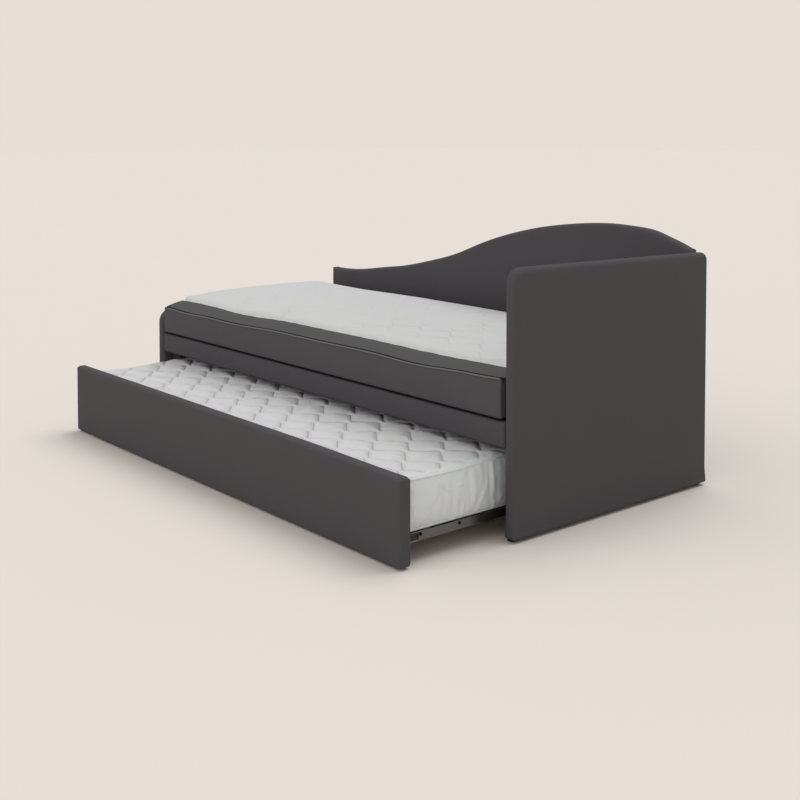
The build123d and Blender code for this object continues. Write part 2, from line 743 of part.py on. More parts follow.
with BuildPart() as trundle_slat_caps:
    for y in trundle_cap_places:
        with BuildSketch(Plane.XY.offset(bar_bottom)):
            with GridLocations(trundle_slat_pitch, 0, trundle_slat_count, 1):
                with Locations((0, y)):
                    Rectangle(cap_width, cap_reach)
        extrude(amount=trundle_slat_top - bar_bottom)
    with BuildSketch(Plane.XY.offset(trundle_slat_bottom)):
        with GridLocations(trundle_slat_pitch, 0, trundle_slat_count, 1):
            with Locations((0, frame_middle)):
                Rectangle(slat_width, trundle_slat_length)
    extrude(amount=slat_thickness, mode=Mode.SUBTRACT)
keep(trundle_slat_caps, "trundle_slat_caps")

# Buffers that stop the trundle at the back panel
with BuildPart() as buffers:
    with BuildSketch(Plane.XZ.offset(-frame_rear)):
        with Locations(*[(side * castor_x, trundle_frame_bottom + angle_width / 2)
                         for word, side in sides]):
            Circle(buffer_radius)
    extrude(amount=-buffer_length)
keep(buffers, "rear_buffers")

# Castors: fork, rivets, axle, wheel core and tyre
fork_top = bar_bottom
wheel_places = [(f"{end}_{word}", side * castor_x, y)
                for end, y in zip(("front", "rear"), castor_places) for word, side in sides]
for name, x, y in wheel_places:
    leg_x = fork_gap / 2 + fork_wall
    with BuildPart() as fork:
        with BuildSketch(Plane.XY.offset(fork_top)):
            with Locations((x, y)):
                Rectangle(fork_plate_length, fork_plate_width)
                with GridLocations(fork_plate_length - 2 * rivet_inset, 0, 2, 1):
                    Circle(rivet_radius + hole_clearance, mode=Mode.SUBTRACT)
        extrude(amount=-fork_wall)
        for leg in (x - leg_x, x + fork_gap / 2):
            with BuildSketch(Plane.YZ.offset(leg)):
                with Locations((y, wheel_radius)):
                    Circle(fork_leg_width / 2)
                with BuildLine():
                    Polyline((y - fork_leg_width / 2, wheel_radius),
                             (y - fork_plate_width / 2, fork_top - fork_wall),
                             (y + fork_plate_width / 2, fork_top - fork_wall),
                             (y + fork_leg_width / 2, wheel_radius), close=True)
                make_face()
                with Locations((y, wheel_radius)):
                    Circle(axle_radius + hole_clearance, mode=Mode.SUBTRACT)
            extrude(amount=fork_wall)
    keep(fork, f"castor_fork_{name}")

    with BuildPart() as axle:
        with BuildSketch(Plane.YZ.offset(x - leg_x)):
            with Locations((y, wheel_radius)):
                Circle(axle_radius)
        extrude(amount=2 * leg_x)
        for start, out in ((x - leg_x, -1), (x + leg_x, 1)):
            with BuildSketch(Plane.YZ.offset(start)):
                with Locations((y, wheel_radius)):
                    Circle(axle_head_radius)
            extrude(amount=out * axle_head)
    keep(axle, f"castor_axle_{name}")

    with BuildPart() as wheel:
        with BuildSketch(Plane.YZ.offset(x - wheel_width / 2)):
            with Locations((y, wheel_radius)):
                Circle(wheel_core_radius)
        extrude(amount=wheel_width)
        with BuildSketch(Plane.YZ.offset(x - hub_width / 2)):
            with Locations((y, wheel_radius)):
                Circle(hub_radius)
        extrude(amount=hub_width)
        with BuildSketch(Plane.YZ.offset(x - hub_width / 2)):
            with Locations((y, wheel_radius)):
                Circle(axle_radius + running_clearance)
        extrude(amount=hub_width, mode=Mode.SUBTRACT)
    keep(wheel, f"castor_wheel_{name}")

    with BuildPart() as tyre:
        with BuildSketch(Plane.YZ.offset(x - wheel_width / 2)):
            with Locations((y, wheel_radius)):
                Circle(wheel_radius)
                Circle(wheel_core_radius, mode=Mode.SUBTRACT)
        extrude(amount=wheel_width)
        outer = tyre.edges().filter_by(GeomType.CIRCLE).sort_by(SortBy.RADIUS)[-2:]
        fillet(outer, tyre_edge_radius)
    keep(tyre, f"castor_tyre_{name}")

with BuildPart() as castor_rivets:
    with BuildSketch(Plane.XY.offset(fork_top - fork_wall)):
        with Locations(*[(x, y) for name, x, y in wheel_places]):
            with GridLocations(fork_plate_length - 2 * rivet_inset, 0, 2, 1):
                Circle(rivet_head_radius)
    extrude(amount=-rivet_head)
    with BuildSketch(Plane.XY.offset(fork_top - fork_wall)):
        with Locations(*[(x, y) for name, x, y in wheel_places]):
            with GridLocations(fork_plate_length - 2 * rivet_inset, 0, 2, 1):
                Circle(rivet_radius)
    extrude(amount=fork_wall + tube_wall)
keep(castor_rivets, "castor_rivets")

# Trundle mattress: crowned, sides drawn in, sewn in zigzag rows
trundle_mattress_bottom = frame_top
trundle_mattress_front = trundle_back + trundle_mattress_gap
trundle_mattress_middle = trundle_mattress_front + trundle_mattress_width / 2
trundle_mattress_top = trundle_mattress_bottom + trundle_mattress_depth
edge_z = trundle_mattress_bottom + trundle_mattress_edge
with BuildPart() as trundle_mattress:
    with BuildSketch(Plane((0, trundle_mattress_middle, trundle_mattress_bottom))):
        plan_outline(trundle_mattress_length, trundle_mattress_width, mattress_corner_radius)
    extrude(amount=trundle_mattress_depth)
    with BuildSketch(Plane.YZ.offset(-trundle_mattress_length / 2)):
        with BuildLine():
            ThreePointArc((trundle_mattress_front, edge_z), (trundle_mattress_middle, trundle_mattress_top),
                          (trundle_mattress_front + trundle_mattress_width, edge_z))
            Polyline((trundle_mattress_front + trundle_mattress_width, edge_z),
                     (trundle_mattress_front + trundle_mattress_width, trundle_mattress_bottom),
                     (trundle_mattress_front, trundle_mattress_bottom), (trundle_mattress_front, edge_z))
        make_face()
    extrude(amount=trundle_mattress_length, mode=Mode.INTERSECT)
    for row in range(quilt_rows):
        low = trundle_mattress_front + quilt_row_setback - zigzag_height / 2 + row * zigzag_pitch
        away = (low + zigzag_height / 2 - trundle_mattress_middle) / (trundle_mattress_width / 2)
        surface = trundle_mattress_top - (trundle_mattress_top - edge_z) * away ** 2
        with BuildSketch(Plane.XY.offset(surface - quilt_groove_depth)):
            Polygon(*stitch_row(row, low, quilt_groove_floor), align=None)
        with BuildSketch(Plane.XY.offset(surface + quilt_groove_depth)):
            Polygon(*stitch_row(row, low, 2 * quilt_groove_width - quilt_groove_floor), align=None)
        loft(ruled=True, mode=Mode.SUBTRACT)
keep(trundle_mattress, "trundle_mattress")
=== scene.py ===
import json
import math

import bmesh
import bpy
import numpy as np
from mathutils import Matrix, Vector


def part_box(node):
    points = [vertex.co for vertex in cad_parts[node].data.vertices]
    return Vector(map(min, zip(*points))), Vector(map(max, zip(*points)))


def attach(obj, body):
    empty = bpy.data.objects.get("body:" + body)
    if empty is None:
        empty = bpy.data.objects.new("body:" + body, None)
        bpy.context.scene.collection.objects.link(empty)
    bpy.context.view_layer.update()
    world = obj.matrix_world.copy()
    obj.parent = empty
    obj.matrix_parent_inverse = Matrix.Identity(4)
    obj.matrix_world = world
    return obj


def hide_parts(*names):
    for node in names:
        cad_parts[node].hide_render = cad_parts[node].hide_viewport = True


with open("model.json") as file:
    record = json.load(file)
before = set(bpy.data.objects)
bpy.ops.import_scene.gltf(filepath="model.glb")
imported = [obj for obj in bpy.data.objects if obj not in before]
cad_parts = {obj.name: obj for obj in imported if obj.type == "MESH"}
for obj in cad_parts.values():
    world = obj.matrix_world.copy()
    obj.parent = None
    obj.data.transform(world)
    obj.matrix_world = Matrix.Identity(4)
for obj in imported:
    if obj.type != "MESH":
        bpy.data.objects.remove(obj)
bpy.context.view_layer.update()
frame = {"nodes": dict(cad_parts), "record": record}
scene = bpy.context.scene
scene.view_settings.view_transform = "Standard"

# The camera stands at the front right, a little above the bed
turn, dip = math.radians(50.022), math.radians(2.350)
away = Vector((math.sin(turn) * math.cos(dip), -math.cos(turn) * math.cos(dip), math.sin(dip)))
camera = bpy.data.objects.new("camera", bpy.data.cameras.new("camera"))
camera.data.lens, camera.data.sensor_width, camera.data.shift_y = 53.721, 36, -0.275
camera.data.clip_end = 200
camera.location = (3.4576, -2.7139, 1.1999)
camera.rotation_mode = "QUATERNION"
camera.rotation_quaternion = (-away).to_track_quat("-Z", "Y")
scene.collection.objects.link(camera)
scene.camera = camera


class Value:
    """A number that changes over a surface; sums written on it become Math nodes."""

    def __init__(self, finish, socket):
        self.finish, self.socket = finish, socket

    def _sum(self, operation, *terms):
        return self.finish.node("ShaderNodeMath", {"operation": operation}, dict(enumerate(terms)))

    def __add__(self, other):
        return self._sum("ADD", self, other)

    def __mul__(self, other):
        return self._sum("MULTIPLY", self, other)

    def __sub__(self, other):
        return self._sum("SUBTRACT", self, other)

    def __rsub__(self, other):
        return self._sum("SUBTRACT", other, self)

    def __truediv__(self, other):
        return self._sum("DIVIDE", self, other)

    def __pow__(self, other):
        return self._sum("POWER", self, other)

    def clamped(self):
        """The same value, held between 0 and 1."""
        return self.minimum(1.0).maximum(0.0)

    def __getattr__(self, name):
        """value.sine(), value.absolute() and so on, after the operations of the Math node."""
        return lambda *terms: self._sum(name.upper(), self, *terms)


class Finish:
    """A material of one Principled shader, its fixed sockets set by name."""

    def __init__(self, name, **fixed):
        self.material = bpy.data.materials.new(name)
        self.material.use_nodes = True
        self.tree = self.material.node_tree
        self.shader = next(n for n in self.tree.nodes if n.type == "BSDF_PRINCIPLED")
        for socket, value in fixed.items():
            self.feed(socket.replace("_", " "), value)

    def node(self, kind, settings=(), sockets=(), out=0):
        made = self.tree.nodes.new(kind)
        for key, value in dict(settings).items():
            setattr(made, key, value)
        for key, value in dict(sockets).items():
            self.link(made.inputs[key], value)
        return Value(self, made.outputs[out])

    def link(self, socket, value):
        if isinstance(value, Value):
            self.tree.links.new(value.socket, socket)
        elif isinstance(value, tuple) and len(value) == 3 and socket.type == "RGBA":
            socket.default_value = (*value, 1)
        else:
            socket.default_value = value

    def feed(self, socket, value):
        self.link(self.shader.inputs[socket], value)

    def point(self, kind="Object"):
        """The place on the piece, or on its cloth map for the kind UV."""
        return self.node("ShaderNodeTexCoord", out=kind)

    def split(self, point):
        """The three parts of a point."""
        return [self.node("ShaderNodeSeparateXYZ", (), {0: point}, axis) for axis in "XYZ"]

    def mark(self, name):
        """A number that the mesh carries at its points."""
        return self.node("ShaderNodeAttribute", {"attribute_name": name}, out="Fac")

    def noise(self, point, scale, detail=3.0, stretch=None):
        if stretch:
            point = self.node("ShaderNodeMapping", (), {"Vector": point, "Scale": stretch})
        return self.node("ShaderNodeTexNoise", (), {"Vector": point, "Scale": scale, "Detail": detail})

    def blend(self, share, first, second):
        settings = {"data_type": "RGBA", "blend_type": "MIX", "clamp_factor": True}
        return self.node("ShaderNodeMix", settings, {0: share, 6: first, 7: second}, 2)

    def bump(self, height, distance, below=None):
        sockets = {"Height": height, "Distance": distance, "Strength": 1.0}
        if below:
            sockets["Normal"] = below
        return self.node("ShaderNodeBump", (), sockets)


CLOTH_SHEEN = 0.12
SCRATCH = 0.06
CHANNEL_SHADE, DEEP_SHADE = (0.03, 0.03, 0.03), (0.02, 0.02, 0.02)


def shaded(colour, share):
    return tuple(c * share for c in colour)


def woven(name, colour, lighter, rough=0.85, pitch=0.0016, depth=0.00025, seam=False):
    """Plain weave of slightly uneven yarns over foam; with seam set, the groove marked seam on the mesh is painted
    dark as shade.
    """
    cloth = Finish(name, Specular_IOR_Level=CLOTH_SHEEN)
    point = cloth.point("UV")
    u, v, _ = cloth.split(point)
    warp = (u * (math.pi / pitch)).sine()
    weft = (v * (math.pi / pitch)).sine()
    crossing = warp * weft
    slub_u = cloth.noise(point, 1.0, 2.0, (60, 1400, 1))
    slub_v = cloth.noise(point, 1.0, 2.0, (1400, 60, 1))
    yarn = slub_u * 0.5 + slub_v * 0.5
    tone = cloth.noise(point, 6.0, 4.0)
    body = cloth.blend(yarn * 0.9 + tone * 0.3 + crossing * 0.06 - 0.1, colour, lighter)
    # Painted shade: the groove behind the piping, marked seam on the mesh, is darkened
    if seam:
        body = cloth.blend(cloth.mark("seam"), body, shaded(colour, 0.2))
    cloth.feed("Base Color", body)
    grain = cloth.bump(crossing + yarn * 0.8, depth)
    cloth.feed("Normal", cloth.bump(tone, 0.0006, grain))
    cloth.feed("Roughness", yarn * 0.12 + (rough - 0.06))
    return cloth


def metal(name, colour, rough, metallic=1.0, edges=None, behind=None):
    """Coated or plated steel with fine handling marks.

    Between the two heights in edges its middle is painted black as shade inside the bracket's channel, and its
    borders keep the steel's colour as the lit flange edges. From the place behind on, it turns blacker as painted
    shade where the frame runs in under the bed.
    """
    steel = Finish(name, Metallic=metallic)
    point = steel.point()
    _, y, z = steel.split(point)
    fine = steel.noise(point, 160.0, 4.0)
    broad = steel.noise(point, 9.0, 3.0)
    drawn = steel.noise(point, 1.0, 3.0, (30, 30, 900))
    body = steel.blend(broad * 0.7 + fine * 0.3, shaded(colour, 0.72), colour)
    if edges:
        middle, half = sum(edges) / 2, (edges[1] - edges[0]) / 2
        # Painted shade inside the channel: black in the middle, the steel's own colour at the lit flange edges (the
        # mask worn marks no wear)
        worn = ((z - middle).absolute() / half - 0.78) * 12
        body = steel.blend(worn.clamped(), CHANNEL_SHADE, body)
    # Painted shade: blacker from the place behind on, where the frame runs in under the bed
    if behind:
        body = steel.blend(((y - behind) / 0.05).clamped(), body, DEEP_SHADE)
    steel.feed("Base Color", body)
    steel.feed("Roughness", fine * SCRATCH + drawn * SCRATCH + (rough - SCRATCH))
    steel.feed("Normal", steel.bump(fine + drawn * 0.5, 0.00012))
    return steel


def moulded(name, colour, rough):
    """Moulded plastic or rubber with a fine matt skin and a little bloom."""
    skin = Finish(name)
    point = skin.point()
    fine = skin.noise(point, 900.0, 2.0)
    bloom = skin.noise(point, 25.0, 3.0) * 0.35
    pale = tuple(c + (0.25 - c) * 0.12 for c in colour)
    skin.feed("Base Color", skin.blend(bloom, colour, pale))
    skin.feed("Roughness", fine * 0.15 + (rough - 0.07))
    skin.feed("Normal", skin.bump(fine, 0.00006))
    return skin


def timber(name, early, late, along):
    """Wood with its grain along one axis."""
    wood = Finish(name, Coat_Weight=0.15, Coat_Roughness=0.35)
    point = wood.point()
    squeeze = tuple(0.04 if axis == along else 1.0 for axis in "XYZ")
    rings = wood.noise(point, 60.0, 5.0, squeeze)
    pores = wood.noise(point, 540.0, 2.0, squeeze)
    wood.feed("Base Color", wood.blend((rings - 0.3) * 2.2 + (pores - 0.5) * 0.4, early, late))
    wood.feed("Roughness", pores * 0.18 + 0.42)
    wood.feed("Normal", wood.bump(pores, 0.00008))
    return wood


def chipboard(name):
    """Raw particle board."""
    board = Finish(name, Roughness=0.8)
    sockets = {"Vector": board.point(), "Scale": 420.0}
    flakes = board.node("ShaderNodeTexVoronoi", {"feature": "F1"}, sockets, "Color")
    tone = board.node("ShaderNodeSeparateColor", (), {0: flakes})
    board.feed("Base Color", board.blend(tone, (0.36, 0.26, 0.16), (0.58, 0.45, 0.3)))
    board.feed("Normal", board.bump(tone, 0.0002))
    return board


# Zigzag rows of stitching, as they lie on both mattresses: gap of the rows, length and height of a zig, place of the
# first one, bluntness of the turns, and where and by how much the zigs grow longer towards the low end
ROW, STEP, RISE = 0.077, 0.077, 0.052
ZIG_X, ZIG_Y = 0.052, -0.375
BLUNT = 0.965
DRIFT_START, DRIFT = -0.42, 0.05


def stitched(name, colour, shadow, depth, clear=1.0, side=None):
    """White knitted cover; the stitch lines are worked out from the place on the top.

    Below 1, clear lets the stitching show in patches only.
    """
    knit = Finish(name, Specular_IOR_Level=CLOTH_SHEEN)
    point = knit.point()
    x, y, _ = knit.split(point)
    worn = x - (x - DRIFT_START).minimum(0) * DRIFT
    swing = ((worn - ZIG_X) * (math.pi / STEP)).cosine() * BLUNT
    wave = swing.arcsine() * (RISE / 2 / math.asin(BLUNT))
    first = (y - ZIG_Y - wave).pingpong(ROW)
    second = (y - ZIG_Y - ROW + wave).pingpong(ROW)
    apart = first.minimum(second)
    top = knit.mark("top")
    soft = knit.noise(point, 14.0, 3.0)
    patchy = 1.0
    if clear < 1:
        patchy = ((knit.noise(point, 5.0, 2.0) - 0.5) * 3.0 + x * 0.45 + clear).clamped()
    line = (0 - (apart / 0.002) ** 2).exponent() * top * patchy
    close = (0 - apart / 0.01).exponent() * top * patchy
    valley = (1 - (apart / 0.022).minimum(1.0)) ** 2 * top * patchy
    ribs = (x * (math.pi / 0.0021)).sine() * (y * (math.pi / 0.0017)).sine()
    pucker = knit.noise(point, 75.0, 3.0, (1.0, 0.45, 0.4))
    tone = line * 0.5 + close * 0.14 + soft * 0.1
    body = knit.blend(tone, colour, shadow)
    # Painted light: the sides take the lighter side colour, brighter than the top
    knit.feed("Base Color", knit.blend(top, side, body) if side else body)
    weave = knit.bump(ribs + knit.noise(point, 700.0, 2.0), 0.0002)
    seams = knit.bump(close * pucker * 1.6 - line * 0.6 - valley * 2.8, depth, weave)
    spots = ((knit.noise(point, 6.0, 1.0) - 0.45) * 6.0).clamped()
    fold = (0.06 - (knit.noise(point, 22.0, 2.0, (1.0, 0.5, 0.5)) - 0.5).absolute()).maximum(0.0)
    knit.feed("Normal", knit.bump(soft + fold * spots * 22.0, depth, seams))
    knit.feed("Roughness", soft * 0.1 + 0.7)
    return knit


GREY, PALE = (0.0735, 0.0695, 0.0735), (0.0945, 0.0900, 0.0950)
upholstery = woven("panel_cloth", GREY, PALE)
# The border's groove behind its piping is painted dark as shade
border_cloth = woven("border_cloth", (0.081, 0.0785, 0.0800), (0.104, 0.1015, 0.1035), seam=True)
piping_cloth = woven("piping_cloth", (0.15, 0.147, 0.148), (0.2, 0.197, 0.198), 0.8, 0.0012)
# Its sides are painted lighter than its top, as painted light
cover = stitched("quilted_cover", (0.70, 0.70, 0.698), (0.34, 0.34, 0.338), 0.0012, side=(0.775, 0.805, 0.82))
smooth_cover = stitched("upper_cover", (0.635, 0.635, 0.633), (0.42, 0.42, 0.418), 0.0005, clear=0.1)
tape = woven("mattress_tape", (0.68, 0.695, 0.705), (0.80, 0.815, 0.825), 0.8, 0.0012, 0.0002)
thread = Finish("stitch_thread", Base_Color=(0.5, 0.5, 0.5), Roughness=0.6)
FINISHES = {
    "upholstery": upholstery,
    "board": chipboard("particle_board"),
    "dowel": timber("beech_dowel", (0.5, 0.35, 0.2), (0.66, 0.5, 0.33), "X"),
    "foot": moulded("black_foot", (0.012, 0.012, 0.012), 0.5),
    # The bracket's black middle between these heights is painted shade inside its channel
    "bracket_steel": metal("bracket_plate", (0.3, 0.3, 0.295), 0.42, 0.6, edges=(0.06, 0.085)),
    "fastener_steel": metal("zinc_plate", (0.6, 0.6, 0.62), 0.35),
    # Beyond y -0.38 the frame is painted blacker as the shade under the bed
    "frame_steel": metal("frame_coat", (0.17, 0.168, 0.165), 0.5, 0.5, behind=-0.38),
    "slat_wood": timber("birch_slat", (0.62, 0.47, 0.3), (0.74, 0.6, 0.42), "Y"),
    "slat_cap": moulded("slat_holder", (0.015, 0.015, 0.015), 0.6),
    "mattress_cover": cover,
    "mattress_border": border_cloth,
    "piping": piping_cloth,
    "black_bolt": metal("black_oxide", (0.006, 0.006, 0.006), 0.6, 0.2),
    "buffer_rubber": moulded("buffer_rubber", (0.02, 0.02, 0.02), 0.75),
    "fork_steel": metal("pressed_fork", (0.42, 0.42, 0.43), 0.38),
    "wheel_plastic": moulded("wheel_core", (0.05, 0.05, 0.052), 0.45),
    "wheel_rubber": moulded("wheel_tread", (0.03, 0.03, 0.031), 0.7),
}
FINISHES["black_bolt"].feed("Specular IOR Level", 0.05)
for row in frame["record"]["subparts"]:
    part = frame["nodes"][row["node"]]
    part.data.materials.clear()
    part.data.materials.append(FINISHES[row["material_slot"]].material)


def fetch(items, key, width=1, kind=float):
    """One property of all items of a mesh, as an array."""
    values = np.zeros(len(items) * width, kind)
    items.foreach_get(key, values)
    return values.reshape(-1, width) if width > 1 else values


def cloth_map(mesh):
    """A map in metres, laid on each face from the side it looks to."""
    looks = np.abs(fetch(mesh.polygons, "normal", 3)).argmax(1)
    side = np.repeat(looks, fetch(mesh.polygons, "loop_total", kind=int))
    spot = fetch(mesh.vertices, "co", 3)[fetch(mesh.loops, "vertex_index", kind=int)]
    flat = np.stack([np.where(side == 0, spot[:, 1], spot[:, 0]), np.where(side == 2, spot[:, 1], spot[:, 2])], 1)
    mesh.uv_layers.new(name="cloth").data.foreach_set("uv", flat.ravel())


def dress(name, mesh, finish, body, stands_for):
    """Gives a mesh its finish and its cloth map, and lets it ride on one body of the bed."""
    mesh.polygons.foreach_set("use_smooth", [True] * len(mesh.polygons))
    mesh.materials.clear()
    mesh.materials.append(finish.material)
    cloth_map(mesh)
    made = bpy.data.objects.new(name, mesh)
    scene.collection.objects.link(made)
    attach(made, body)
    if stands_for:
        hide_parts(*stands_for)
    return made


def add_piece(name, points, faces, finish, body, stands_for, marks=None):
    """A closed mesh from its points and faces; marks are numbers for its points."""
    mesh = bpy.data.meshes.new(name)
    mesh.from_pydata(np.asarray(points).tolist(), [], [list(map(int, f)) for f in faces])
    for mark, values in (marks or {}).items():
        mesh.attributes.new(mark, "FLOAT", "POINT").data.foreach_set("value", np.asarray(values, np.float32))
    work = bmesh.new()
    work.from_mesh(mesh)
    bmesh.ops.recalc_face_normals(work, faces=work.faces)
    work.to_mesh(mesh)
    work.free()
    return dress(name, mesh, finish, body, stands_for)


def sleeve(rings):
    """Faces that join rings of the same count in turn and close both ends."""
    count, last = len(rings[0]), len(rings) - 1
    faces = []
    for ring in range(last):
        for k in range(count):
            n = (k + 1) % count
            faces.append((ring * count + k, ring * count + n, (ring + 1) * count + n, (ring + 1) * count + k))
    return faces + [list(range(count)), list(range(last * count, (last + 1) * count))]


def eased(amount, share):
    """An amount that comes in softly while share goes from 0 to 1."""
    return amount * share * share * (3 - 2 * share)


def undulate(u, v, length, seed, waves=7):
    """Slow unevenness of stuffed cloth, between about -1 and 1."""
    dice = np.random.default_rng(seed)
    total = 0
    for _ in range(waves):
        angle, phase = dice.uniform(0, 2 * math.pi, 2)
        rate = 2 * math.pi / length * dice.uniform(0.6, 1.5)
        total = total + np.sin(rate * (u * math.cos(angle) + v * math.sin(angle)) + phase)
    return total / math.sqrt(waves) / 1.4


def smooth_line(knots, at):
    """Natural cubic curve through given knots."""
    x, y = np.array(knots, float).T
    h, n = np.diff(x), len(x)
    left, right = np.eye(n), np.zeros(n)
    for i in range(1, n - 1):
        left[i, i - 1 : i + 2] = h[i - 1], 2 * (h[i - 1] + h[i]), h[i]
        right[i] = 3 * ((y[i + 1] - y[i]) / h[i] - (y[i] - y[i - 1]) / h[i - 1])
    c = np.linalg.solve(left, right)
    at = np.clip(at, x[0], x[-1])
    i = np.clip(np.searchsorted(x, at) - 1, 0, n - 2)
    b = (y[i + 1] - y[i]) / h[i] - h[i] * (2 * c[i] + c[i + 1]) / 3
    t = at - x[i]
    return y[i] + b * t + c[i] * t**2 + (c[i + 1] - c[i]) / (3 * h[i]) * t**3


LEAST_RADIUS = 0.0004


def rounded(low, high, corners, inset, step=0.04):
    """A rectangle with four rounded corners, drawn in by inset; the count of its points stays the same."""
    (a0, b0), (a1, b1) = low, high
    spots = []
    centres = ((a1, b0, -90), (a1, b1, 0), (a0, b1, 90), (a0, b0, 180))
    for place, ((a, b, start), radius) in enumerate(zip(centres, corners)):
        inner = max(radius - inset, LEAST_RADIUS)
        ca = a + (-1 if a == a1 else 1) * max(radius, inset + LEAST_RADIUS)
        cb = b + (-1 if b == b1 else 1) * max(radius, inset + LEAST_RADIUS)
        for angle in np.radians(np.linspace(start, start + 90, 13)):
            spots.append((ca + inner * math.cos(angle), cb + inner * math.sin(angle)))
        length = (a1 - a0) if place % 2 else (b1 - b0)
        spots.append(max(2, int(length / step)))
    points = []
    for place, spot in enumerate(spots):
        if isinstance(spot, int):
            start, end = np.array(points[-1]), np.array(spots[(place + 1) % len(spots)])
            points += [tuple(start + (end - start) * k / spot) for k in range(1, spot)]
        else:
            points.append(spot)
    return np.array(points)


# How both faces of a padded board rise inside its rounded edge: share of the way in and share of the crown.
# The dip beside the edge is the sewn line.
FACE = ((0.03, 0), (0.06, -0.15), (0.09, 0), (0.3, 0.3), (0.6, 0.7), (1, 1))


def padded_board(name, outline, radii, thick, placed, body, node, crown=0.0012, room=0.04, end_radius=None):
    """Foam and cloth round a board: rounded edges, a sewn line inside them and a slight crown on both faces.

    outline(inset) is the board's edge, placed(u, v, deep) puts it in the bed, radii are those of the bottom edge and
    of the others, and the crown grows over the width room.
    """
    biggest = max(radii)
    base, full = outline(0), outline(biggest)
    share = np.clip((base[:, 1] - base[:, 1].min()) / 0.03, 0, 1)
    radius = radii[0] + eased(radii[1] - radii[0], share)
    if end_radius:
        inside = np.minimum(base[:, 0] - base[:, 0].min(), base[:, 0].max() - base[:, 0])
        radius = np.where(inside < 0.002, np.minimum(radius, end_radius), radius)
    edge = []
    for angle in np.radians(np.linspace(90, 0, 8)):
        drawn = (radius * (1 - math.cos(angle)) / biggest)[:, None]
        edge.append((base + (full - base) * drawn, radius * (1 - math.sin(angle))))
    face = [(outline(biggest + room * share), 0 * radius - crown * rise) for share, rise in FACE]
    half = face[::-1] + edge
    rings = [placed(flat[:, 0], flat[:, 1], deep) for flat, deep in half]
    rings += [placed(flat[:, 0], flat[:, 1], thick - deep) for flat, deep in half[::-1]]
    made = add_piece(name, np.concatenate(rings), sleeve(rings), upholstery, body, (node,))
    return made


def end_panel(name, corners, fall=0.0):
    """An end panel; its padded top may fall a little towards the back."""
    node = name + "_padding"
    low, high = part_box(node)

    def outline(inset):
        flat = rounded((low.y, low.z), (high.y, high.z), corners, inset)
        rearward = (flat[:, 0] - (low.y + high.y) / 2) / (high.y - low.y)
        up = (flat[:, 1] - low.z) / (high.z - low.z)
        flat[:, 1] -= fall * rearward * up
        return flat

    def placed(u, v, deep):
        return np.stack([low.x + deep, u, v], 1)

    return padded_board(name, outline, (0.007, 0.018), high.x - low.x, placed, "bedstead", node)


end_panel("tall_panel", (0.008, 0.025, 0.048, 0.012), 0.013)
end_panel("low_panel", (0.008, 0.04, 0.055, 0.01))


def facing(low):
    """Puts an outline in X and Z behind the front of a box that starts at low."""
    def placed(u, v, deep):
        return np.stack([u, low.y + deep, v], 1)

    return placed


# The back's wave, from left to right: place along the bed and height
WAVE = ((48, 564), (115, 564), (250, 572), (397, 593), (572, 618), (698, 645), (820, 674), (898, 697), (975, 725),
        (1049, 752), (1142, 781), (1263, 812), (1379, 835), (1528, 855), (1634, 864), (1738, 866), (1837, 861),
        (1901, 853), (1964, 834), (2026, 813), (2062, 797))
wave = [(x / 1000 - 1.055, z / 1000) for x, z in WAVE]


def back_outline(inset):
    """The back panel's edge, drawn in by inset: wavy top, right end, bottom and left end, all turned round."""
    low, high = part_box("back_panel_padding")
    along = np.linspace(low.x, high.x, 181)
    lean = np.sqrt(1 + np.gradient(smooth_line(wave, along), along) ** 2)
    drawn_in = np.interp(np.linspace(0, 1, 181), [0, 1], [low.x + inset, high.x - inset])
    x = drawn_in if inset else along
    z = smooth_line(wave, x) - inset / lean
    right, left = np.linspace(z[-1], low.z, 14)[1:], np.linspace(low.z, z[0], 14)[:-1]
    bottom = np.linspace(x[-1], x[0], 40)[1:-1]
    spots = [*zip(x, z), *((x[-1], b) for b in right), *((a, low.z) for a in bottom), *((x[0], b) for b in left)]
    flat = np.array(spots)
    flat[:, 1] = np.maximum(flat[:, 1], low.z + inset)
    return flat[::-1]


low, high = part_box("back_panel_padding")
padded_board("back_panel", back_outline, (0.006, 0.015), high.y - low.y, facing(low), "bedstead",
             "back_panel_padding", crown=0.0003, end_radius=0.006)


def long_board(name, body, radii, corners, room, fall=0.0, **more):
    """A board along the bed; its padded top may fall a little over its last half metre."""
    node = name + "_padding"
    low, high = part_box(node)

    def outline(inset):
        flat = rounded((low.x, low.z), (high.x, high.z), corners, inset)
        share = np.clip((flat[:, 0] - 0.5) / 0.45, 0, 1)
        flat[:, 1] -= eased(fall, share) * (flat[:, 1] - low.z) / (high.z - low.z)
        return flat

    return padded_board(name, outline, radii, high.y - low.y, facing(low), body, node, room=room, **more)


long_board("front_rail", "bedstead", (0.01, 0.01), (0.004,) * 4, 0.02)
long_board("trundle_panel", "trundle", (0.006, 0.013), (0.01, 0.012, 0.01, 0.01), 0.04,
           fall=0.005, end_radius=0.006, crown=0.0003)


def ticks(low, high, edge, marks, step):
    """Places from low to high through all marks, closer together at both rounded ends."""
    near = edge * (1 - np.cos(np.radians((0, 25, 50, 70, 90))))
    stops = [low + edge, *marks, high - edge]
    middle = [np.linspace(a, b, max(2, int(round((b - a) / step))) + 1)[:-1] for a, b in zip(stops[:-1], stops[1:])]
    return np.concatenate([low + near[:-1], *middle, (high - near)[::-1]])


def zigzag(x, row):
    """Place of a stitch row in Y."""
    worn = x - np.minimum(x - DRIFT_START, 0) * DRIFT
    swing = np.arcsin(BLUNT * np.cos((worn - ZIG_X) * math.pi / STEP)) / math.asin(BLUNT)
    return ZIG_Y + row * ROW + RISE / 2 * swing * np.where(row % 2, -1, 1)


